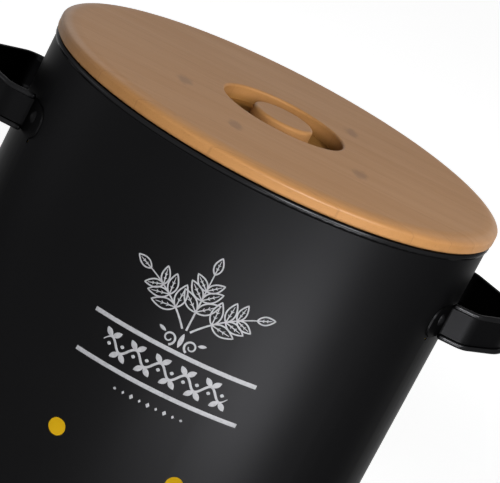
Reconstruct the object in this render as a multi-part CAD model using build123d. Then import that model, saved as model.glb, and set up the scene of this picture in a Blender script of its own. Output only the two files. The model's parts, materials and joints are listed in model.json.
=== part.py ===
from build123d import *
from math import asin, atan2, cos, degrees, hypot, radians, sin, sqrt, tan
import os

# A round sheet-steel potato bin with air vents, two riveted strap handles and a loose bamboo lid.
# Millimetres. The origin is on the floor in the middle of the bin, +Z is up, the front faces -Y
# and the handles point along +X and -X.

# ---------------------------------------------------------------- sheet-steel body
BODY_RADIUS = 118.8  # outside of the wall
BODY_HEIGHT = 212.0  # floor to the crest of the rolled rim
SHEET = 0.6  # thickness of wall and bottom

RIM_WIRE_RADIUS = 1.0
RIM_WIRE_ROOM = 0.1  # between the wire and the sheet rolled round it
RIM_STAND_OUT = 0.8  # the roll stands out this far beyond the wall
RIM_ROLL_END = -130.0  # direction in which the roll ends, in degrees from outwards

BOTTOM_RAISE = 5.0  # underside of the bottom above the floor
BOTTOM_STEP = 1.2  # the middle of the bottom is stepped up to stiffen it
BOTTOM_STEP_INSET = 26.8  # from the outside of the wall in to the step
BOTTOM_STEP_WIDTH = 2.0
SEAM_HEIGHT = 4.0  # the bottom's edge folded up outside the wall
SEAM_ROOM = 0.05  # between the wall and the fold round it
SEAM_EDGE_ROUND = 0.5
BOTTOM_BEND = 1.0  # inside radius where the bottom turns down

SIDE_SEAM_WIDTH = 6.0  # flattened lock seam down the back of the wall
SIDE_SEAM_PROUD = 0.6
SIDE_SEAM_END_GAP = 0.5  # it stops short of the bottom fold and of the rim roll

# ---------------------------------------------------------------- air vents
VENT_RADIUS = 4.4
VENT_COUNT = 12
VENT_HEIGHT = 63.3  # centres above the floor
VENT_TURN = -2.2  # the row's middle gap, in degrees round from the front

# ---------------------------------------------------------------- strap handles
HANDLE_DROP = 38.3  # rim crest down to the middle of the strap
HANDLE_REACH = 33.0  # wall to the outermost point of the strap
HANDLE_SPREAD = 77.0  # between the two legs where they meet the wall
STRAP_HEIGHT = 20.0  # over both beads
STRAP_SHEET = 0.8
BEAD_RADIUS = 1.4  # rolled bead along the upper and lower edge
BEAD_SET_IN = 0.15  # the bead stands in this far past the strap's inner face
BEAD_START = 1.6  # from the root of the leg to the start of the bead
KNEE_OUT = 13.6  # where the leg turns inwards, measured outwards from its root
KNEE_IN = 0.5  # and towards the handle's middle
KNEE_BEND = 9.0
APEX_BEND = 31.0
ROOT_BEND = 2.5
FOOT_LENGTH = 19.5  # along the wall, from the root of the leg
FOOT_CORNER = 7.5

RIVET_OUT = 9.2  # from the root of the leg to the rivet, along the wall
RIVET_RISE = 1.5  # rivet above the middle of the strap
RIVET_SHANK_RADIUS = 1.5
RIVET_HOLE_ROOM = 0.05
RIVET_HEAD_RADIUS = 3.3
RIVET_HEAD_HEIGHT = 1.7
RIVET_TAIL_RADIUS = 2.6
RIVET_TAIL_HEIGHT = 1.2
WASHER_RADIUS = 4.0
WASHER_SHEET = 0.8

LOCATING_HOLE_RADIUS = 1.0  # small hole beside and below each rivet
LOCATING_HOLE_OUT = 4.6  # from the rivet, along the wall
LOCATING_HOLE_DROP = 11.0  # below the rivet

# ---------------------------------------------------------------- bamboo lid
LID_OVERHANG = 0.4  # the top board stands out this far beyond the rolled rim
LID_BOARD = 7.8  # thickness of the top board
LID_SEAT_ROOM = 0.3  # between the rim crest and the underside of the board
LID_ROUND_WIDTH = 9.0  # soft rounding of the upper edge: half an ellipse's width and height
LID_ROUND_HEIGHT = 3.1
LID_CHAMFER = 0.9  # lower edge

GRIP_RADIUS = 32.8  # opening in the top board, the outside of the finger groove
GRIP_EDGE_ROUND = 1.2
KNOB_RADIUS = 16.2
KNOB_EDGE_ROUND = 1.8

UNDER_BOARD_ROOM = 3.2  # between the under board's edge and the rolled rim
UNDER_BOARD = 8.0
UNDER_BOARD_CHAMFER = 1.2

SEAL_GROOVE_DEPTH = 2.2
SEAL_GROOVE_HEIGHT = 3.2
SEAL_DROP = 2.4  # top of the groove below the top board
SEAL_ROOM = 0.05  # between the ring and its groove
SEAL_TO_RIM = 0.3  # between the ring's lip and the rolled rim
SEAL_LIP = 0.7  # height of the lip's outer edge

# ---------------------------------------------------------------- worked out from the above
WALL_INSIDE = BODY_RADIUS - SHEET
ROLL_HOLLOW = RIM_WIRE_RADIUS + RIM_WIRE_ROOM
ROLL_RADIUS = ROLL_HOLLOW + SHEET
ROLL_CENTRE_R = BODY_RADIUS + RIM_STAND_OUT - ROLL_RADIUS
ROLL_CENTRE_Z = BODY_HEIGHT - ROLL_RADIUS
MOUTH_RADIUS = ROLL_CENTRE_R - ROLL_RADIUS

FOLD_INNER = WALL_INSIDE - SEAM_ROOM - SHEET
FOLD_OUTER = BODY_RADIUS + SEAM_ROOM + SHEET
BOTTOM_STEP_RADIUS = BODY_RADIUS - BOTTOM_STEP_INSET

HANDLE_Z = BODY_HEIGHT - HANDLE_DROP
RIVET_Z = HANDLE_Z + RIVET_RISE
ROOT_ANGLE = degrees(asin(HANDLE_SPREAD / 2 / BODY_RADIUS))
RIVET_ANGLE = ROOT_ANGLE + degrees(RIVET_OUT / BODY_RADIUS)
FOOT_END_ANGLE = ROOT_ANGLE + degrees(FOOT_LENGTH / BODY_RADIUS)
LOCATING_HOLE_ANGLE = RIVET_ANGLE + degrees(LOCATING_HOLE_OUT / BODY_RADIUS)
RIVET_HOLE_RADIUS = RIVET_SHANK_RADIUS + RIVET_HOLE_ROOM
BEAD_OFFSET = BEAD_RADIUS - BEAD_SET_IN - STRAP_SHEET / 2  # bead centre outside the strap's middle
WASHER_FACE = sqrt(WALL_INSIDE**2 - WASHER_RADIUS**2)  # the washer touches the wall at its edge

LID_Z = BODY_HEIGHT + LID_SEAT_ROOM  # underside of the top board
LID_RADIUS = BODY_RADIUS + RIM_STAND_OUT + LID_OVERHANG
UNDER_BOARD_RADIUS = MOUTH_RADIUS - UNDER_BOARD_ROOM
SEAL_LIP_RADIUS = MOUTH_RADIUS - SEAL_TO_RIM

FRONT = -90.0  # directions round the bin are in degrees from +X
QUARTER_TURN = 90.0

# Each handle is turned about +Z from the right-hand one, and each foot lies on one side of it.
HANDLES = {"right": 0, "left": 180}
FEET = {"front": -1, "rear": 1}


def foot_turn(handle, foot, angle):
    """Direction, in degrees from +X, of a place at an angle from a handle's middle."""
    side = FEET[foot] if handle == "right" else -FEET[foot]
    return HANDLES[handle] + side * angle


def turned(section):
    """A solid of revolution from a closed section drawn as (radius, height)."""
    return revolve(Plane.XZ * section, Axis.Z)


def section_of(*points):
    return make_face(Polyline(*points, close=True))


def corner(sketch, x, y):
    """The corner of a sketch nearest to a point."""
    return sketch.vertices().sort_by_distance((x, y, 0))[0]


def radial_hole(radius, turn, height):
    """A cutter through the wall, pointing outwards in one direction."""
    reach = 4 * ROLL_RADIUS
    cutter = Plane.YZ.offset(BODY_RADIUS - reach / 2) * Cylinder(
        radius, reach, align=(Align.CENTER, Align.CENTER, Align.MIN)
    )
    return Rot(0, 0, turn) * Pos(0, 0, height) * cutter


# ---------------------------------------------------------------- body
def body_wall():
    """The rolled cylinder: wall, hollow rim roll, lock seam, vents and holes."""
    wall_in = WALL_INSIDE - ROLL_CENTRE_R
    wall_mid = wall_in + SHEET / 2
    roll_mid = ROLL_HOLLOW + SHEET / 2
    wall_top = ROLL_CENTRE_Z - sqrt(roll_mid**2 - wall_mid**2)
    end = radians(RIM_ROLL_END)
    roll_gap = section_of(
        (0, 0),
        (wall_in, -ROLL_HOLLOW * 0.9),
        (wall_in, -2 * ROLL_RADIUS),
        (2 * ROLL_RADIUS * cos(end), 2 * ROLL_RADIUS * sin(end)),
    )
    roll = Circle(ROLL_RADIUS) - Circle(ROLL_HOLLOW) - roll_gap
    wall = section_of(
        (WALL_INSIDE, SHEET),
        (BODY_RADIUS, SHEET),
        (BODY_RADIUS, wall_top),
        (WALL_INSIDE, wall_top),
    )
    shell = turned(wall + Pos(ROLL_CENTRE_R, ROLL_CENTRE_Z) * roll)

    seam_bottom = SEAM_HEIGHT + SIDE_SEAM_END_GAP
    seam_top = ROLL_CENTRE_Z - ROLL_RADIUS - SIDE_SEAM_END_GAP
    seam_half = degrees(SIDE_SEAM_WIDTH / 2 / BODY_RADIUS)
    seam_ring = Cylinder(BODY_RADIUS + SIDE_SEAM_PROUD, seam_top - seam_bottom) - Cylinder(
        BODY_RADIUS - SHEET / 2, seam_top - seam_bottom
    )
    far = 2 * BODY_RADIUS
    seam_wedge = extrude(
        section_of(
            (0, 0),
            (far * sin(radians(seam_half)), far * cos(radians(seam_half))),
            (-far * sin(radians(seam_half)), far * cos(radians(seam_half))),
        ),
        seam_top - seam_bottom,
        both=True,
    )
    shell += Pos(0, 0, (seam_top + seam_bottom) / 2) * (seam_ring & seam_wedge)

    pitch = 360 / VENT_COUNT
    for i in range(VENT_COUNT):
        shell -= radial_hole(VENT_RADIUS, FRONT + VENT_TURN + (i + 0.5) * pitch, VENT_HEIGHT)
    for handle in HANDLES:
        for foot in FEET:
            shell -= radial_hole(RIVET_HOLE_RADIUS, foot_turn(handle, foot, RIVET_ANGLE), RIVET_Z)
            shell -= radial_hole(
                LOCATING_HOLE_RADIUS,
                foot_turn(handle, foot, LOCATING_HOLE_ANGLE),
                RIVET_Z - LOCATING_HOLE_DROP,
            )
    return shell


def rim_wire():
    return Pos(0, 0, ROLL_CENTRE_Z) * Torus(ROLL_CENTRE_R, RIM_WIRE_RADIUS)


def bottom_panel():
    """A dished disc whose edge turns down inside the wall, under it and up again outside."""
    top = BOTTOM_RAISE + SHEET
    step_in = BOTTOM_STEP_RADIUS - BOTTOM_STEP_WIDTH / 2
    step_out = BOTTOM_STEP_RADIUS + BOTTOM_STEP_WIDTH / 2
    section = section_of(
        (0, BOTTOM_RAISE + BOTTOM_STEP),
        (step_in, BOTTOM_RAISE + BOTTOM_STEP),
        (step_out, BOTTOM_RAISE),
        (FOLD_INNER, BOTTOM_RAISE),
        (FOLD_INNER, 0),
        (FOLD_OUTER, 0),
        (FOLD_OUTER, SEAM_HEIGHT),
        (FOLD_OUTER - SHEET, SEAM_HEIGHT),
        (FOLD_OUTER - SHEET, SHEET),
        (FOLD_INNER + SHEET, SHEET),
        (FOLD_INNER + SHEET, top),
        (step_out, top),
        (step_in, top + BOTTOM_STEP),
        (0, top + BOTTOM_STEP),
    )
    rounds = [
        (FOLD_INNER, BOTTOM_RAISE, BOTTOM_BEND),
        (FOLD_INNER + SHEET, top, BOTTOM_BEND + SHEET),
        (FOLD_INNER, 0, SEAM_EDGE_ROUND),
        (FOLD_OUTER, 0, SEAM_EDGE_ROUND),
        (FOLD_OUTER, SEAM_HEIGHT, SHEET * 0.4),
        (FOLD_OUTER - SHEET, SEAM_HEIGHT, SHEET * 0.4),
    ]
    for x, y, radius in rounds:
        section = fillet(corner(section, x, y), radius)
    return turned(section)


# ---------------------------------------------------------------- handles
def leg_points():
    """Middle line of one strap leg, seen from above: root, knee and the corner of the apex."""
    root_r = BODY_RADIUS + STRAP_SHEET / 2
    root_y = HANDLE_SPREAD / 2
    root = (sqrt(root_r**2 - root_y**2), root_y)
    knee = (root[0] + KNEE_OUT, root_y - KNEE_IN)
    # The crest of the bead is outermost, so the strap's middle line turns that much inside it.
    apex_x = BODY_RADIUS + HANDLE_REACH - BEAD_RADIUS - BEAD_OFFSET
    apex_centre = apex_x - APEX_BEND
    knee_to_centre = hypot(apex_centre - knee[0], knee[1])
    slope = atan2(knee[1], apex_centre - knee[0]) - asin(APEX_BEND / knee_to_centre)
    apex = (knee[0] + knee[1] / tan(slope), 0)
    return root, knee, apex


def mirrored(point):
    return (point[0], -point[1])


def strap_line():
    """Middle line of the whole strap: foot, leg, round the apex, leg and foot."""
    root, knee, apex = leg_points()
    foot_r = BODY_RADIUS + STRAP_SHEET / 2
    root_angle = degrees(atan2(root[1], root[0]))
    foot_angle = FOOT_END_ANGLE - root_angle
    line = Wire(
        [
            *CenterArc((0, 0), foot_r, FOOT_END_ANGLE, -foot_angle).edges(),
            *Polyline(root, knee, apex, mirrored(knee), mirrored(root)).edges(),
            *CenterArc((0, 0), foot_r, -root_angle, -foot_angle).edges(),
        ]
    )
    for point, radius in [
        (root, ROOT_BEND),
        (mirrored(root), ROOT_BEND),
        (knee, KNEE_BEND),
        (mirrored(knee), KNEE_BEND),
        (apex, APEX_BEND),
    ]:
        line = line.fillet_2d(radius, [corner(line, *point)])
    return line


def bead_line():
    """Centre line of a bead, outside the strap's middle line, from one leg to the other."""
    root, knee, apex = leg_points()
    share = BEAD_START / hypot(knee[0] - root[0], knee[1] - root[1])
    start = (root[0] + (knee[0] - root[0]) * share, root[1] + (knee[1] - root[1]) * share)
    middle = FilletPolyline(
        start,
        knee,
        apex,
        mirrored(knee),
        mirrored(start),
        radius=[KNEE_BEND, APEX_BEND, KNEE_BEND],
    )
    return middle.offset_2d(BEAD_OFFSET, side=Side.LEFT, closed=False)


def strap():
    """The right-hand handle: a bent strap with round-ended feet and a bead along both edges."""
    bead_z = STRAP_HEIGHT / 2 - BEAD_RADIUS
    band = make_face(strap_line().offset_2d(STRAP_SHEET / 2))
    band = extrude(band, bead_z, both=True)

    foot_y = BODY_RADIUS * sin(radians(FOOT_END_ANGLE))
    foot_corner = min(FOOT_CORNER, 0.95 * bead_z)
    blank = RectangleRounded(2 * foot_y, 2 * bead_z, foot_corner)
    handle = band & extrude(Plane.YZ * blank, BODY_RADIUS + 2 * HANDLE_REACH)

    line = bead_line()
    bead = sweep(Plane(line @ 0, z_dir=line % 0) * Circle(BEAD_RADIUS), line)
    for end in (line @ 0, line @ 1):
        bead += Pos(*end) * Sphere(BEAD_RADIUS)
    for z in (-bead_z, bead_z):
        handle += Pos(0, 0, z) * bead
    for foot in FEET:
        handle -= radial_hole(RIVET_HOLE_RADIUS, FEET[foot] * RIVET_ANGLE, RIVET_RISE)
    return handle


# ---------------------------------------------------------------- rivets and washers
def dome(radius, height):
    """Section of a shallow dome that stands on height 0."""
    sphere = (radius**2 + height**2) / (2 * height)
    half_way = asin(radius / sphere) / 2
    crown = (sphere * sin(half_way), height - sphere + sphere * cos(half_way))
    flat = Polyline((0, height), (0, 0), (radius, 0))
    return make_face(flat + ThreePointArc((radius, 0), crown, (0, height)))


def rivet():
    """Along +X through foot, wall and washer: domed head outside, closed tail inside."""
    head_x = BODY_RADIUS + STRAP_SHEET
    tail_x = WASHER_FACE - WASHER_SHEET
    head = turned(dome(RIVET_HEAD_RADIUS, RIVET_HEAD_HEIGHT))
    tail = turned(dome(RIVET_TAIL_RADIUS, RIVET_TAIL_HEIGHT))
    shank = Cylinder(
        RIVET_SHANK_RADIUS, head_x - tail_x, align=(Align.CENTER, Align.CENTER, Align.MIN)
    )
    outwards = Plane.YZ
    return (
        outwards.offset(head_x) * head
        + outwards.offset(tail_x) * shank
        + outwards.offset(tail_x) * Rot(180, 0, 0) * tail
    )


def washer():
    ring = Circle(WASHER_RADIUS) - Circle(RIVET_HOLE_RADIUS)
    return extrude(Plane.YZ.offset(WASHER_FACE - WASHER_SHEET) * ring, WASHER_SHEET)


# ---------------------------------------------------------------- lid
def lid_top_board():
    """Round board with a softly rounded upper edge and the opening of the finger groove."""
    round_start = LID_BOARD - LID_ROUND_HEIGHT
    outline = Line((GRIP_RADIUS, LID_BOARD), (GRIP_RADIUS, 0))
    outline += Line((GRIP_RADIUS, 0), (LID_RADIUS - LID_CHAMFER, 0))
    outline += Line((LID_RADIUS - LID_CHAMFER, 0), (LID_RADIUS, LID_CHAMFER))
    outline += Line((LID_RADIUS, LID_CHAMFER), (LID_RADIUS, round_start))
    outline += EllipticalCenterArc(
        (LID_RADIUS - LID_ROUND_WIDTH, round_start),
        LID_ROUND_WIDTH,
        LID_ROUND_HEIGHT,
        start_angle=0,
        arc_size=QUARTER_TURN,
    )
    outline += Line((LID_RADIUS - LID_ROUND_WIDTH, LID_BOARD), (GRIP_RADIUS, LID_BOARD))
    section = make_face(outline)
    section = fillet(corner(section, GRIP_RADIUS, LID_BOARD), GRIP_EDGE_ROUND)
    return Pos(0, 0, LID_Z) * turned(section)


def lid_knob():
    """The island in the middle of the finger groove, level with the top board."""
    section = Pos(KNOB_RADIUS / 2, LID_BOARD / 2) * Rectangle(KNOB_RADIUS, LID_BOARD)
    section = fillet(corner(section, KNOB_RADIUS, LID_BOARD), KNOB_EDGE_ROUND)
    return Pos(0, 0, LID_Z) * turned(section)


def lid_under_board():
    """The disc that drops into the mouth: floor of the finger groove and seat of the seal."""
    groove_r = UNDER_BOARD_RADIUS - SEAL_GROOVE_DEPTH
    groove_low = -SEAL_DROP - SEAL_GROOVE_HEIGHT
    section = section_of(
        (0, 0),
        (UNDER_BOARD_RADIUS, 0),
        (UNDER_BOARD_RADIUS, -SEAL_DROP),
        (groove_r, -SEAL_DROP),
        (groove_r, groove_low),
        (UNDER_BOARD_RADIUS, groove_low),
        (UNDER_BOARD_RADIUS, -UNDER_BOARD),
        (0, -UNDER_BOARD),
    )
    section = chamfer(corner(section, UNDER_BOARD_RADIUS, -UNDER_BOARD), UNDER_BOARD_CHAMFER)
    return Pos(0, 0, LID_Z) * turned(section)


def lid_seal_ring():
    """Silicone ring in the under board's groove, with a tapered lip towards the rim."""
    back = UNDER_BOARD_RADIUS - SEAL_GROOVE_DEPTH + SEAL_ROOM
    top = -SEAL_DROP - SEAL_ROOM
    low = -SEAL_DROP - SEAL_GROOVE_HEIGHT + SEAL_ROOM
    middle = (top + low) / 2
    section = section_of(
        (back, top),
        (UNDER_BOARD_RADIUS, top),
        (SEAL_LIP_RADIUS, middle + SEAL_LIP / 2),
        (SEAL_LIP_RADIUS, middle - SEAL_LIP / 2),
        (UNDER_BOARD_RADIUS, low),
        (back, low),
    )
    return Pos(0, 0, LID_Z) * turned(section)


# ---------------------------------------------------------------- the named nodes
nodes = {
    "body_wall": body_wall(),
    "rim_wire": rim_wire(),
    "bottom_panel": bottom_panel(),
    "lid_top_board": lid_top_board(),
    "lid_knob": lid_knob(),
    "lid_under_board": lid_under_board(),
    "lid_seal_ring": lid_seal_ring(),
}
one_strap = Pos(0, 0, HANDLE_Z) * strap()
one_rivet = Pos(0, 0, RIVET_Z) * rivet()
one_washer = Pos(0, 0, RIVET_Z) * washer()
for handle, turn in HANDLES.items():
    nodes[f"{handle}_handle_strap"] = Rot(0, 0, turn) * one_strap
    for foot in FEET:
        to_foot = Rot(0, 0, foot_turn(handle, foot, RIVET_ANGLE))
        nodes[f"rivet_{handle}_{foot}"] = to_foot * one_rivet
        nodes[f"washer_{handle}_{foot}"] = to_foot * one_washer

os.makedirs("parts", exist_ok=True)
for name, solid in nodes.items():
    export_step(solid, f"parts/{name}.step")
print("nodes", len(nodes))
print("lowest, highest", min(s.bounding_box().min.Z for s in nodes.values()),
      max(s.bounding_box().max.Z for s in nodes.values()))
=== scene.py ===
import bpy
import json
from math import cos, pi, radians, sin, tau
from mathutils import Matrix, Vector


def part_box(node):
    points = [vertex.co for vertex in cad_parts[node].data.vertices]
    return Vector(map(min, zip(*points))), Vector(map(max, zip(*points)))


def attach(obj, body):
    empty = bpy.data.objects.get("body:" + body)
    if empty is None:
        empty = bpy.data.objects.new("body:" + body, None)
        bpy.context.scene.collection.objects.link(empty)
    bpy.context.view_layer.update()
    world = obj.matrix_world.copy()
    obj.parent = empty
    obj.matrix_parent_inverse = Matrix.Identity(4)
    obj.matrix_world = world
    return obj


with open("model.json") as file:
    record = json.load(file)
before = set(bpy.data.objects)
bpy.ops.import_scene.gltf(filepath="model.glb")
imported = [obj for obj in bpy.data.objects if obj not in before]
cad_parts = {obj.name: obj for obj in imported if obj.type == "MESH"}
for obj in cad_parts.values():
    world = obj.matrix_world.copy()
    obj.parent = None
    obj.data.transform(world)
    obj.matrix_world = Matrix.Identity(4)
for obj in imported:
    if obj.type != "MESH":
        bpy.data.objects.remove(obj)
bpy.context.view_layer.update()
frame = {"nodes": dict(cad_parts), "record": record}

# A round black potato bin with air vents, strap handles, a white print and a bamboo lid. Metres.

MM = 0.001

# ---------------------------------------------------------------- places read from the frame
wall_low, wall_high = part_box("body_wall")
strap_low, strap_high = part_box("right_handle_strap")
board_low, board_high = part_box("lid_top_board")

SHEET = 0.6 * MM
ROLL_STAND_OUT = 0.8 * MM
ROLL_RADIUS = 1.7 * MM
ROLL_RING = wall_high.x - ROLL_RADIUS
ROLL_HEIGHT = wall_high.z - ROLL_RADIUS
ROLL_FOOT = wall_high.z - 2 * ROLL_RADIUS
WALL_RADIUS = wall_high.x - ROLL_STAND_OUT
WALL_INSIDE = WALL_RADIUS - SHEET
BOTTOM_SHEET_MIDDLE = 5.30 * MM
STRAP_MIDDLE = (strap_low.z + strap_high.z) / 2
BEAD_REACH = strap_high.z - STRAP_MIDDLE - 3 * MM
LID_RADIUS = board_high.x
LID_UNDERSIDE = board_low.z
LID_TOP = board_high.z


# ---------------------------------------------------------------- shader maths
class Signal:
    """One output of a shader node, so that shader maths is written as plain Python."""

    def __init__(self, finish, socket):
        self.finish = finish
        self.socket = socket

    def combine(self, operation, first, second):
        kinds = [term.socket.type for term in (first, second) if isinstance(term, Signal)]
        if "RGBA" in kinds:
            settings = {"data_type": "RGBA", "blend_type": operation}
            return self.finish.node("Mix", settings, {0: 1.0, 6: first, 7: second}, 2)
        kind = "VectorMath" if "VECTOR" in kinds else "Math"
        return self.finish.node(kind, {"operation": operation}, {0: first, 1: second})

    def __add__(self, other):
        return self.combine("ADD", self, other)

    def __radd__(self, other):
        return self.combine("ADD", other, self)

    def __sub__(self, other):
        return self.combine("SUBTRACT", self, other)

    def __rsub__(self, other):
        return self.combine("SUBTRACT", other, self)

    def __mul__(self, other):
        return self.combine("MULTIPLY", self, other)

    def __rmul__(self, other):
        return self.combine("MULTIPLY", other, self)

    def __truediv__(self, other):
        return self.combine("DIVIDE", self, other)

    def __pow__(self, other):
        return self.combine("POWER", self, other)

    def __abs__(self):
        return self.finish.node("Math", {"operation": "ABSOLUTE"}, {0: self})

    def floor(self):
        return self.finish.node("Math", {"operation": "FLOOR"}, {0: self})

    def most(self, other):
        return self.combine("MAXIMUM", self, other)

    def step(self, start, end):
        """Rises smoothly from 0 at start to 1 at end; start may be the larger one."""
        low, high = sorted((start, end))
        settings = {"interpolation_type": "SMOOTHSTEP"}
        values = {"Value": self, "From Min": low, "From Max": high}
        rise = self.finish.node("MapRange", settings, values)
        return rise if start < end else 1 - rise


class NodeTree:
    """A node tree whose nodes are made, filled and linked by one method."""

    def __init__(self, tree):
        self.tree = tree

    def plug(self, socket, value):
        if isinstance(value, Signal):
            self.tree.links.new(value.socket, socket)
        elif socket.type == "RGBA" and isinstance(value, (int, float)):
            socket.default_value = (value, value, value, 1)
        elif socket.type == "RGBA" and len(value) == 3:
            socket.default_value = (*value, 1)
        elif socket.type == "VECTOR" and isinstance(value, (int, float)):
            socket.default_value = (value, value, value)
        else:
            socket.default_value = value

    def node(self, kind, settings=None, values=None, output=0):
        """A node of a kind, with its settings made first and then its sockets filled."""
        made = self.tree.nodes.new("ShaderNode" + kind)
        for name, value in (settings or {}).items():
            setattr(made, name, value)
        for name, value in (values or {}).items():
            self.plug(made.inputs[name], value)
        return Signal(self, made.outputs[output])

    def place(self):
        return self.node("TexCoord", output="Object")

    def axes(self, vector):
        split = self.node("SeparateXYZ", {}, {0: vector}).socket.node
        return [Signal(self, socket) for socket in split.outputs]

    def mix(self, share, first, second):
        settings = {"data_type": "RGBA"}
        return self.node("Mix", settings, {0: share, 6: first, 7: second}, 2)

    def noise(self, vector, detail=2.0, seed=0.0):
        settings = {"noise_dimensions": "4D"}
        values = {"Vector": vector, "W": seed, "Scale": 1.0, "Detail": detail}
        return self.node("TexNoise", settings, values, "Fac")

    def own_normal(self):
        """The mesh's own direction at each point."""
        return self.node("NewGeometry", output="Normal")

    def bump(self, height, strength, distance, normal=None):
        values = {"Height": height, "Strength": strength, "Distance": distance}
        if normal:
            values["Normal"] = normal
        return self.node("Bump", {}, values)


class Finish(NodeTree):
    """A material with one Principled shader."""

    def __init__(self, name):
        self.material = bpy.data.materials.new(name)
        self.material.use_nodes = True
        super().__init__(self.material.node_tree)
        self.tree.nodes.clear()
        self.shader = self.tree.nodes.new("ShaderNodeBsdfPrincipled")
        output = self.tree.nodes.new("ShaderNodeOutputMaterial")
        self.tree.links.new(self.shader.outputs[0], output.inputs[0])

    def set(self, **values):
        """Fills the shader's own sockets; an underscore stands for a space."""
        for name, value in values.items():
            self.plug(self.shader.inputs[name.replace("_", " ")], value)
        return self.material


def span(x, y):
    """How far a flat place (x, y) lies from the middle, such as the bin's axis."""
    return (x * x + y * y) ** 0.5


def toned(colour, share):
    """A colour made darker or lighter by a share."""
    return [share * part for part in colour]


# ---------------------------------------------------------------- finishes
BLACK = (0.0070, 0.0070, 0.0074)
BLACK_EDGE_TINT = (0.48, 0.48, 0.48)
SHINY_BLACK = (0.0135, 0.0135, 0.0142)
GOLD_LACQUER = (0.66, 0.39, 0.0075)
BAMBOO_LIGHT = (0.47, 0.232, 0.082)
BAMBOO_DARK = (0.41, 0.195, 0.066)
BAMBOO_KNOT = (0.20, 0.088, 0.032)
# painted shade colour for the walls of the finger groove
GROOVE_PAINTED_SHADE = (0.22, 0.105, 0.016)
INK = (0.40, 0.40, 0.42)
ZINC = (0.6, 0.61, 0.63)
SILICONE = (0.62, 0.62, 0.58)

PEEL = 1100.0
PEEL_HEIGHT = 0.03 * MM
CLOUD = 14.0
# painted shade: the straps take a darker copy of the coat, which tones down the reflection on their
# web
STRAP_PAINTED_SHADE = 0.78


def powder_coat(name, gold_at=None, shine_at=None, normal_at=None, depth=1.0):
    """Satin black coat with a fine peel.

    gold_at(finish, x, y, z) is 1 where a golden lacquer takes its place, and shine_at where the
    coat is pulled thin and smooth over a roll; normal_at gives the surface's own direction.
    A depth below 1 darkens the black, a painted shade.
    """
    finish = Finish(name)
    place = finish.place()
    x, y, z = finish.axes(place)
    peel = finish.noise(place * PEEL)
    cloud = finish.noise(place * CLOUD)
    colour = finish.mix(cloud, toned(BLACK, 0.93 * depth), toned(BLACK, 1.07 * depth))
    roughness = 0.40 + 0.04 * cloud
    metallic = 1.0
    if shine_at:
        shine = shine_at(finish, x, y, z)
        colour = finish.mix(shine, colour, SHINY_BLACK)
        roughness = roughness - 0.15 * shine
    if gold_at:
        gold = gold_at(finish, x, y, z)
        colour = finish.mix(gold, colour, GOLD_LACQUER)
        metallic = 1 - 0.7 * gold
    normal = normal_at(finish, x, y, z) if normal_at else None
    return finish.set(
        Base_Color=colour,
        Metallic=metallic,
        Roughness=roughness,
        Specular_Tint=BLACK_EDGE_TINT,
        Normal=finish.bump(peel, 0.10, PEEL_HEIGHT, normal),
    )


STRIP_WIDTH = 19 * MM
STRIP_EDGE = -1.5 * MM
GRAIN_TURN = radians(1.1)
STREAKS = (6.0, 170.0, 170.0)
FIBRES = (26.0, 1300.0, 1300.0)
PATCHES = (11.0, 34.0, 34.0)
PORES = (90.0, 3200.0, 3200.0)
KNOT_RIPPLE = (300.0, 160.0, 160.0)
FIBRE_HEIGHT = 0.06 * MM
KNOT_HALF_LENGTH = 4.5 * MM
KNOT_HALF_WIDTH = 9.5 * MM
ROUNDING_FOOT = LID_UNDERSIDE + 4.5 * MM
GROOVE_RADIUS = 33.2 * MM
GROOVE_BRINK = LID_TOP - 1.5 * MM
TOP_KNOTS = [(-53, -26), (-24, -65), (42, -41.5), (37, 36.5)]
UNDER_KNOTS = [(62, 27), (-38, 46), (12, -68), (-71, -30)]


def knot_marks(finish, place, x, y, knots):
    """1 in the middle of each knot, fading to 0 at its rippled outline."""
    ripple = finish.noise(place * KNOT_RIPPLE, 2, 4.0)
    marks = 0.0
    for along, aside in knots:
        from_x = (x - along * MM) / KNOT_HALF_LENGTH
        from_y = (y - aside * MM) / KNOT_HALF_WIDTH
        reach = span(from_x, from_y) + 1.1 * (ripple - 0.5)
        marks = reach.step(1.2, 0.3).most(marks)
    return marks


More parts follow.
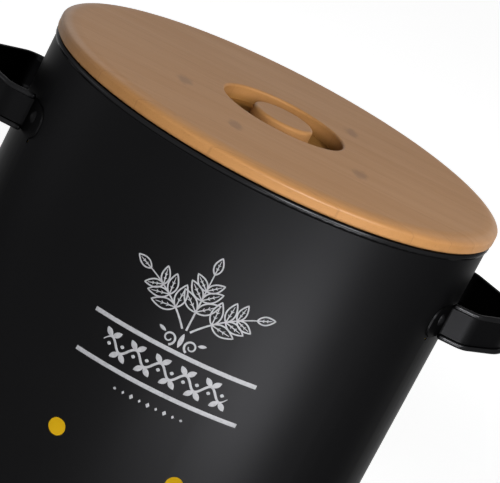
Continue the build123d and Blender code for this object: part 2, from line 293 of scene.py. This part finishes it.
def bamboo(name, knots, gloss=0.10, groove_shade_strength=0.60):
    """Glued strips along X, with fibres, a thin line at each joint, and a few knots.

    A knot is written as its place along and across the strips, in millimetres. The walls of the
    finger groove get a painted shade, darker the deeper they are.
    """
    finish = Finish(name)
    turned = {"Vector": finish.place(), "Rotation": (0, 0, GRAIN_TURN)}
    place = finish.node("Mapping", {"vector_type": "TEXTURE"}, turned)
    x, y, z = finish.axes(place)
    radius = span(x, y)

    across = (y - STRIP_EDGE) / STRIP_WIDTH
    strip = across.floor()
    tone = finish.node("TexWhiteNoise", {"noise_dimensions": "1D"}, {"W": strip}, "Value")
    joint = abs(across - strip - 0.5).step(0.485, 0.499)
    streak = finish.noise(place * STREAKS, 2, tone * 30)
    fibre = finish.noise(place * FIBRES, 3, tone * 30)
    patch = finish.noise(place * PATCHES, 1, tone * 30)
    pores = finish.noise(place * PORES, 1, tone * 30).step(0.60, 0.72)
    grain = 0.32 * streak.step(0.3, 0.7) + 0.22 * fibre.step(0.3, 0.7)
    grain = grain + 0.34 * patch.step(0.3, 0.7) + 0.12 * tone

    groove = radius.step(GROOVE_RADIUS, GROOVE_RADIUS - 0.4 * MM)
    groove = groove * z.step(GROOVE_BRINK + 0.8 * MM, GROOVE_BRINK)
    # painted shade: the groove walls darken towards their foot, standing in for shadow in the recess
    painted_groove_shade = groove * (0.25 + 0.75 * z.step(GROOVE_BRINK - 2 * MM, GROOVE_BRINK - 6 * MM))

    colour = finish.mix(grain, BAMBOO_LIGHT, BAMBOO_DARK)
    colour = finish.mix(0.30 * pores + 0.30 * joint, colour, BAMBOO_KNOT)
    if knots:
        colour = finish.mix(0.55 * knot_marks(finish, place, x, y, knots), colour, BAMBOO_KNOT)
    if groove_shade_strength:
        colour = finish.mix(groove_shade_strength * painted_groove_shade, colour, GROOVE_PAINTED_SHADE)

    rounding = radius.step(LID_RADIUS - 6 * MM, LID_RADIUS - 2 * MM)
    rounding = rounding * z.step(ROUNDING_FOOT, ROUNDING_FOOT + 0.5 * MM)
    relief = fibre - 0.5 * pores - joint
    return finish.set(
        Base_Color=colour,
        Roughness=0.44 + 0.08 * grain + 0.4 * groove,
        Specular_IOR_Level=gloss,
        Coat_Weight=0.2 * rounding,
        Coat_Roughness=0.28,
        Normal=finish.bump(relief, 0.12, FIBRE_HEIGHT),
    )


def brushed_metal(name, colour):
    """Bare metal with a slight spangle."""
    finish = Finish(name)
    place = finish.place()
    spangle = finish.noise(place * 420.0, 1)
    shade = finish.mix(spangle, toned(colour, 0.86), colour)
    return finish.set(Base_Color=shade, Metallic=1.0, Roughness=0.34 + 0.12 * spangle)


def moulded_rubber(name, colour):
    """Matt silicone with a fine skin."""
    finish = Finish(name)
    place = finish.place()
    cloud = finish.noise(place * 60.0)
    skin = finish.noise(place * 2500.0)
    shade = finish.mix(cloud, toned(colour, 0.93), colour)
    return finish.set(
        Base_Color=shade,
        Roughness=0.52 + 0.10 * cloud,
        Specular_IOR_Level=0.2,
        Normal=finish.bump(skin, 0.08, 0.02 * MM),
    )


def screen_ink(name):
    """Pale ink with the slightly uneven cover of a screen print."""
    finish = Finish(name)
    place = finish.place()
    cover = finish.noise(place * 700.0, 3)
    shade = finish.mix(cover.step(0.25, 0.6), toned(INK, 0.80), INK)
    return finish.set(Base_Color=shade, Roughness=0.55, Specular_IOR_Level=0.15)


def wall_inside(finish, x, y, z):
    """The inner side of the wall sheet, up to the foot of the rolled rim."""
    inner = span(x, y).step(WALL_INSIDE + 0.12 * SHEET, WALL_INSIDE + 0.04 * SHEET)
    return inner * z.step(ROLL_FOOT - 0.1 * MM, ROLL_FOOT - 0.3 * MM)


def bottom_inside(finish, x, y, z):
    """The upper side of the bottom sheet, stepped middle included."""
    upward = finish.axes(finish.own_normal())[2]
    return upward.step(0.2, 0.4) * z.step(BOTTOM_SHEET_MIDDLE, BOTTOM_SHEET_MIDDLE + 0.05 * MM)


def rim_roll(finish, x, y, z):
    """The rolled rim, inside and out."""
    return z.step(ROLL_FOOT - 0.3 * MM, ROLL_FOOT + 0.3 * MM)


def rim_normal(finish, x, y, z):
    """The true direction of the rolled rim, and the mesh's own direction elsewhere."""
    radius = span(x, y)
    outward = (radius - ROLL_RING) / radius
    ahead = {0: x * outward, 1: y * outward, 2: z - ROLL_HEIGHT}
    true = finish.node("CombineXYZ", {}, ahead)
    true = finish.node("VectorMath", {"operation": "NORMALIZE"}, {0: true})
    shares = {0: rim_roll(finish, x, y, z), 4: finish.own_normal(), 5: true}
    return finish.node("Mix", {"data_type": "VECTOR"}, shares, 1)


def strap_beads(finish, x, y, z):
    """The beads along the strap's edges, away from its feet."""
    bead = abs(z - STRAP_MIDDLE).step(BEAD_REACH - 0.4 * MM, BEAD_REACH + 0.4 * MM)
    return bead * span(x, y).step(WALL_RADIUS + 3 * MM, WALL_RADIUS + 5 * MM)


finishes = {
    "black_coat": powder_coat("satin_coat"),
    "bamboo": bamboo("bamboo", TOP_KNOTS),
    "zinc_steel": brushed_metal("zinc", ZINC),
    "silicone": moulded_rubber("silicone", SILICONE),
}
# the straps' coat is darkened by a painted shade
strap_finish = powder_coat("strap_coat", shine_at=strap_beads, depth=STRAP_PAINTED_SHADE)
special_finishes = {
    "left_handle_strap": strap_finish,
    "right_handle_strap": strap_finish,
    "body_wall": powder_coat("wall_coat", wall_inside, rim_roll, rim_normal),
    "bottom_panel": powder_coat("bottom_coat", bottom_inside),
    "lid_under_board": bamboo("under_bamboo", UNDER_KNOTS, 0.02),
    "lid_knob": bamboo("knob_bamboo", [], groove_shade_strength=0.0),
}
for part in frame["record"]["subparts"]:
    name = part["node"]
    material = special_finishes.get(name, finishes[part["material_slot"]])
    frame["nodes"][name].material_slots[0].material = material

# ---------------------------------------------------------------- the print on the front
PRINT_TURN = radians(-1.05)
INK_RISE = 0.06 * MM
INK_SINK = 0.02 * MM
LINE = 0.9 * MM

ink = screen_ink("pale_ink")


def unit_turn(angle):
    """The direction at an angle from straight up, positive to the right, as (across, up)."""
    return Vector((sin(angle), cos(angle)))


class Drawing:
    """Inked strokes drawn flat as (across, up) points, then wrapped on the wall as one piece."""

    def __init__(self, name):
        self.curve = bpy.data.curves.new(name, "CURVE")
        self.curve.dimensions = "3D"
        self.curve.bevel_depth = 1.0
        self.curve.bevel_resolution = 2
        self.curve.use_fill_caps = True
        self.piece = bpy.data.objects.new(name, self.curve)
        bpy.context.scene.collection.objects.link(self.piece)

    def stroke(self, points, widths, closed=False, mirrored=False):
        """A stroke through points; widths is one width, or one for each point."""
        if not isinstance(widths, (list, tuple)):
            widths = [widths] * len(points)
        for side in (1, -1) if mirrored else (1,):
            line = self.curve.splines.new("POLY")
            line.points.add(len(points) - 1)
            line.use_cyclic_u = closed
            for dot, (across, up), width in zip(line.points, points, widths):
                dot.co = (side * across, 0, up, 1)
                dot.radius = width / 2

    def wrap(self):
        """Makes the strokes a thin raised mesh that follows the wall."""
        bpy.ops.object.select_all(action="DESELECT")
        self.piece.select_set(True)
        bpy.context.view_layer.objects.active = self.piece
        bpy.ops.object.convert(target="MESH")
        bpy.ops.object.mode_set(mode="EDIT")
        bpy.ops.mesh.select_all(action="SELECT")
        bpy.ops.mesh.normals_make_consistent(inside=False)
        bpy.ops.object.mode_set(mode="OBJECT")
        for vertex in self.piece.data.vertices:
            across, depth, up = vertex.co
            rise = max(-INK_SINK, min(INK_RISE, -0.5 * depth))
            angle = PRINT_TURN + across / WALL_RADIUS
            radius = WALL_RADIUS + rise
            vertex.co = (radius * sin(angle), -radius * cos(angle), up)
        bpy.ops.object.shade_smooth_by_angle(angle=radians(30))
        self.piece.data.materials.append(ink)
        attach(self.piece, "bin")


def arc_points(start, heading, length, turn, count):
    """Points along an arc from start; heading and turn are angles from up, to the right."""
    points = [Vector(start)]
    pace = length / count
    for number in range(count):
        angle = heading + turn * (number + 0.5) / count
        points.append(points[-1] + unit_turn(angle) * pace)
    return points


LEAF_POINTS = 18


def leaf_outline(root, heading, length, width):
    """The closed outline of a pointed leaf, widest before its middle."""
    ahead = unit_turn(heading)
    aside = Vector((ahead.y, -ahead.x))
    points = []
    for number in range(2 * LEAF_POINTS):
        share = number / LEAF_POINTS
        side = 1 if share < 1 else -1
        along = share if share < 1 else 2 - share
        swell = sin(pi * along ** 0.85) ** 0.9
        points.append(root + ahead * (along * length) + aside * (side * swell * width / 2))
    return points


def outlined_leaf(drawing, root, heading, length, width, mirrored):
    """A leaf drawn as its outline, a rib that thins out, and two pairs of veins."""
    drawing.stroke(leaf_outline(root, heading, length, width), 0.8 * LINE, True, mirrored)
    ahead = unit_turn(heading)
    rib = [root + ahead * (length * share) for share in (0.0, 0.3, 0.6, 0.82)]
    drawing.stroke(rib, [0.7 * LINE, 0.6 * LINE, 0.5 * LINE, 0.3 * LINE], False, mirrored)
    for share in (0.28, 0.5):
        for side in (1, -1):
            start = root + ahead * (length * share)
            vein = arc_points(start, heading + side * radians(42), 0.27 * width, 0, 2)
            drawing.stroke(vein, [0.5 * LINE, 0.4 * LINE, 0.25 * LINE], False, mirrored)


def solid_leaf(drawing, root, heading, length, width, mirrored=False):
    """A filled leaf: one stroke that swells to its middle."""
    points = arc_points(root, heading, length, 0, 8)
    widths = [0.15 * LINE + width * sin(pi * number / 8) ** 0.8 for number in range(9)]
    drawing.stroke(points, widths, False, mirrored)


def sprig(drawing, start, heading, length, turn, leaves, leaf_length, mirrored):
    """A bending stem with pairs of leaves that grow smaller to the tip, and one at its end."""
    count = 24
    stem = arc_points(start, heading, length, turn, count)
    widths = [LINE * (1.1 - 0.5 * number / count) for number in range(count + 1)]
    drawing.stroke(stem, widths, False, mirrored)
    for number in range(leaves):
        share = 0.34 + 0.56 * number / leaves
        spot = round(share * count)
        size = leaf_length * (1 - 0.38 * number / leaves)
        for side in (1, -1):
            lean = heading + turn * share + side * radians(50)
            outlined_leaf(drawing, stem[spot], lean, size, 0.44 * size, mirrored)
    outlined_leaf(drawing, stem[-1], heading + turn, 0.72 * leaf_length, 0.34 * leaf_length, mirrored)


PICTURE_FOOT = LID_UNDERSIDE - 77.5 * MM
FLOURISH_MIDDLE = LID_UNDERSIDE - 83.5 * MM
BAND_MIDDLE = LID_UNDERSIDE - 99.8 * MM
DOTS_MIDDLE = LID_UNDERSIDE - 118.2 * MM
BAR_HEIGHTS = [LID_UNDERSIDE - 89.3 * MM, LID_UNDERSIDE - 110.5 * MM]
BAR_HALF_LENGTH = 42.4 * MM
BAR_WIDTH = 2.1 * MM
BAR_PACE = 1.7 * MM


def draw_sprigs():
    """Three leafy sprigs that fan out from one foot."""
    drawing = Drawing("print_sprigs")
    foot = Vector((0, PICTURE_FOOT))
    aside = foot + Vector((2.0 * MM, 0))
    leaf_pairs, leaf_length = 3, 12 * MM
    sprig(drawing, foot, 0, 30 * MM, 0, leaf_pairs, leaf_length, False)
    sprig(drawing, aside, radians(38), 32 * MM, radians(32), leaf_pairs, leaf_length, True)
    drawing.wrap()


def draw_flourish():
    """Two small scrolls, back to back, with a drop between them and a leaf on each."""
    drawing = Drawing("print_flourish")
    middle = Vector((0, FLOURISH_MIDDLE))
    eye = middle + Vector((5.6 * MM, -0.5 * MM))
    outer, inner = 3.4 * MM, 1.0 * MM
    count = 30
    scroll = []
    widths = []
    for number in range(count + 1):
        share = number / count
        angle = radians(200) + radians(430) * share
        scroll.append(eye + unit_turn(angle) * (outer + (inner - outer) * share))
        widths.append(LINE * (1.25 - 0.6 * share))
    drawing.stroke(scroll, widths, False, True)
    drop_foot = middle + Vector((0, -3.2 * MM))
    leaf_root = middle + Vector((8.2 * MM, 1.6 * MM))
    solid_leaf(drawing, drop_foot, 0, 7.4 * MM, 2.2 * MM)
    solid_leaf(drawing, leaf_root, radians(70), 4.2 * MM, 1.5 * MM, True)
    drawing.wrap()


def draw_bars():
    """Two plain bars that frame the vine."""
    drawing = Drawing("print_bars")
    count = round(2 * BAR_HALF_LENGTH / BAR_PACE)
    for height in BAR_HEIGHTS:
        start = Vector((-BAR_HALF_LENGTH, height))
        line = arc_points(start, pi / 2, 2 * BAR_HALF_LENGTH, 0, count)
        drawing.stroke(line, BAR_WIDTH)
    drawing.wrap()


VINE_HALF_LENGTH = 32.5 * MM
VINE_SWING = 2.7 * MM
VINE_WAVES = 5


def vine_point(share):
    """A place on the vine's wave; share goes from 0 at its left end to 1 at its right end."""
    across = (2 * share - 1) * VINE_HALF_LENGTH
    return Vector((across, BAND_MIDDLE + VINE_SWING * sin(tau * VINE_WAVES * share)))


def draw_vine():
    """A running vine: a wave with two leaves at each crest and a bud in each hollow."""
    drawing = Drawing("print_vine")
    count = 100
    stem = [vine_point(number / count) for number in range(count + 1)]
    ends = [min(number, count - number) / count for number in range(count + 1)]
    drawing.stroke(stem, [1.3 * LINE * min(1, 0.35 + 8 * end) for end in ends])
    leaf_lean = radians(48)
    for number in range(2 * VINE_WAVES):
        up = 1 if number % 2 == 0 else -1
        crest = vine_point((number + 0.5) / (2 * VINE_WAVES))
        upright = 0 if up > 0 else pi
        for side in (1, -1):
            solid_leaf(drawing, crest, upright + side * up * leaf_lean, 5.2 * MM, 2.6 * MM)
        bud_top = crest + Vector((0, 0.9 * MM - up * 3.4 * MM))
        solid_leaf(drawing, bud_top, pi, 1.8 * MM, 1.8 * MM)
    drawing.wrap()


def draw_dots():
    """A row of large and small diamonds, with a round dot at each end."""
    drawing = Drawing("print_dots")
    pace, last = 4.3 * MM, 4
    dot, small, large = 1.3 * MM, 1.7 * MM, 2.6 * MM
    for number in range(-last, last + 1):
        if abs(number) == last:
            top = Vector((number * pace, DOTS_MIDDLE + dot / 2))
            solid_leaf(drawing, top, pi, dot, dot)
            continue
        size = large if number % 2 == 0 else small
        middle = Vector((number * pace, DOTS_MIDDLE))
        half = Vector((0, size / 2))
        corner = 0.1 * MM
        drawing.stroke([middle + half, middle, middle - half], [corner, 0.8 * size, corner])
    drawing.wrap()


draw_sprigs()
draw_flourish()
draw_bars()
draw_vine()
draw_dots()

# ---------------------------------------------------------------- studio
VIEW_DISTANCE = 1.4121
VIEW_ELEVATION = radians(12.43)
VIEW_TURN = radians(-3.5)
VIEW_ROLL = radians(27.353)
AIM_UP = radians(-2.2299)
AIM_SIDE = radians(0.5465)
LENS = 205.69


def studio_camera():
    """A long lens that looks down on the lid, turned about its own axis."""
    camera = bpy.data.objects.new("camera", bpy.data.cameras.new("camera"))
    bpy.context.scene.collection.objects.link(camera)
    bpy.context.scene.camera = camera
    camera.data.lens = LENS
    camera.data.sensor_width = 36
    camera.data.clip_start = 0.1
    camera.data.clip_end = 100
    turn = Matrix.Rotation(VIEW_TURN, 4, "Z")
    back = Vector((0, -cos(VIEW_ELEVATION), sin(VIEW_ELEVATION)))
    place = turn @ (Vector((0, 0, LID_UNDERSIDE)) + back * VIEW_DISTANCE)
    camera.matrix_world = (
        Matrix.Translation(place)
        @ turn
        @ Matrix.Rotation(pi / 2 - VIEW_ELEVATION, 4, "X")
        @ Matrix.Rotation(VIEW_ROLL, 4, "Z")
        @ Matrix.Rotation(AIM_UP, 4, "X")
        @ Matrix.Rotation(AIM_SIDE, 4, "Y")
    )


def lamp_turn(azimuth):
    """An azimuth in radians about the bin's axis; 0 is the side that the camera sees, 90 is right."""
    return radians(azimuth) + VIEW_TURN


def area_lamp(name, place, aim, width, tall, brightness):
    """A rectangular lamp at a place, facing a point; brightness 1 is white."""
    lamp = bpy.data.lights.new(name, "AREA")
    lamp.shape = "RECTANGLE"
    lamp.size = width
    lamp.size_y = tall
    lamp.energy = pi * width * tall * brightness
    thing = bpy.data.objects.new(name, lamp)
    bpy.context.scene.collection.objects.link(thing)
    thing.location = place
    thing.rotation_mode = "QUATERNION"
    thing.rotation_quaternion = (Vector(place) - Vector(aim)).to_track_quat("Z", "Y")
    thing.visible_camera = False
    return thing


def softbox(name, azimuth, elevation, distance, width, tall, brightness, diffuse=True, glossy=True):
    """A studio lamp that faces the middle of the lid; it lights colour, gloss or both."""
    turn, lift = lamp_turn(azimuth), radians(elevation)
    outward = Vector((sin(turn) * cos(lift), -cos(turn) * cos(lift), sin(lift)))
    lid_middle = Vector((0, 0, LID_UNDERSIDE))
    place = lid_middle + outward * distance
    box = area_lamp(name, place, lid_middle, width, tall, brightness)
    box.visible_diffuse = diffuse
    box.visible_glossy = glossy


def gloss_card(name, azimuth, distance, width, low, high, brightness):
    """An upright card near the floor that only shows as a soft reflection in the coat."""
    turn, middle = lamp_turn(azimuth), (low + high) / 2
    place = (sin(turn) * distance, -cos(turn) * distance, middle)
    card = area_lamp(name, place, (0, 0, middle), width, high - low, brightness)
    card.visible_diffuse = False


def seen_ray(finish):
    """1 for rays from the camera, from gloss and through glass, and 0 for the rest."""
    path = finish.node("LightPath").socket.node
    rays = [
        Signal(finish, path.outputs[name])
        for name in ("Is Camera Ray", "Is Glossy Ray", "Is Transmission Ray")
    ]
    return rays[0].most(rays[1]).most(rays[2])


FLOOR_COLOUR = (0.5, 0.5, 0.5)
FLOOR_GLOW = 0.94
SHADOW_DEPTH = 0.17
SHADOW_START, SHADOW_END = 0.32, 0.85
FLOOR_SIZE = 16.0


def studio_floor():
    """A pale floor that glows white, but less so close to the bin, where its shadow falls: a painted
    shade ring.
    """
    bpy.ops.object.select_all(action="DESELECT")
    bpy.ops.mesh.primitive_plane_add(size=FLOOR_SIZE, location=(0, 0, 0))
    floor = bpy.context.object
    floor.name = "floor"
    finish = Finish("floor")
    x, y, z = finish.axes(finish.place())
    # painted shade: the glow is lowered in a ring about the bin
    near = span(x, y).step(SHADOW_END, SHADOW_START)
    glow = finish.mix(seen_ray(finish), 0.0, FLOOR_GLOW - SHADOW_DEPTH * near)
    material = finish.set(
        Base_Color=FLOOR_COLOUR,
        Roughness=1.0,
        Specular_IOR_Level=0.0,
        Emission_Color=glow,
        Emission_Strength=1.0,
    )
    floor.data.materials.append(material)


WORLD_LIGHT = 0.03


def studio_world():
    """A world that is white where it is seen, and gives the bin a little even light."""
    world = bpy.data.worlds.new("studio")
    bpy.context.scene.world = world
    world.use_nodes = True
    sky = NodeTree(world.node_tree)
    colour = sky.mix(seen_ray(sky), WORLD_LIGHT, 1.0)
    sky.plug(sky.tree.nodes["Background"].inputs["Color"], colour)


INNER_POWER = 1.85
INNER_DROP = 25 * MM
INNER_CONE = radians(84)


def inner_lamp():
    """A small spot under the lid that lights the golden lacquer behind the vents."""
    lamp = bpy.data.lights.new("inner", "SPOT")
    lamp.energy = INNER_POWER
    lamp.cycles.max_bounces = 0
    lamp.spot_size = INNER_CONE
    lamp.spot_blend = 0.25
    lamp.shadow_soft_size = 12 * MM
    thing = bpy.data.objects.new("inner", lamp)
    bpy.context.scene.collection.objects.link(thing)
    thing.location = (0, 0, LID_UNDERSIDE - INNER_DROP)
    thing.visible_camera = False


bpy.context.scene.view_settings.view_transform = "Standard"
studio_camera()
studio_floor()
studio_world()
softbox("high_key", 52, 35, 1.2, 0.36, 0.30, 21.0, glossy=False)
softbox("low_key", 10, 11, 1.2, 0.36, 0.30, 31.5, glossy=False)
softbox("rim_light", 24, 22, 1.2, 0.36, 0.30, 49.0, diffuse=False)
softbox("edge_light", 52, 28, 1.2, 0.30, 0.30, 36.0, diffuse=False)
softbox("back", -155, 30, 1.5, 0.8, 0.5, 1.0)
gloss_card("strong_card", 41, 0.36, 0.15, 0.003, 0.12, 13.5)
gloss_card("upper_card", 44, 0.36, 0.12, 0.13, 0.25, 3.0)
gloss_card("soft_card", 16, 0.36, 0.18, 0.003, 0.11, 6.6)
gloss_card("low_card", 38, 0.36, 0.16, 0.003, 0.035, 9.0)
gloss_card("left_card", -90, 0.75, 0.30, 0.01, 0.33, 1.5)
inner_lamp()
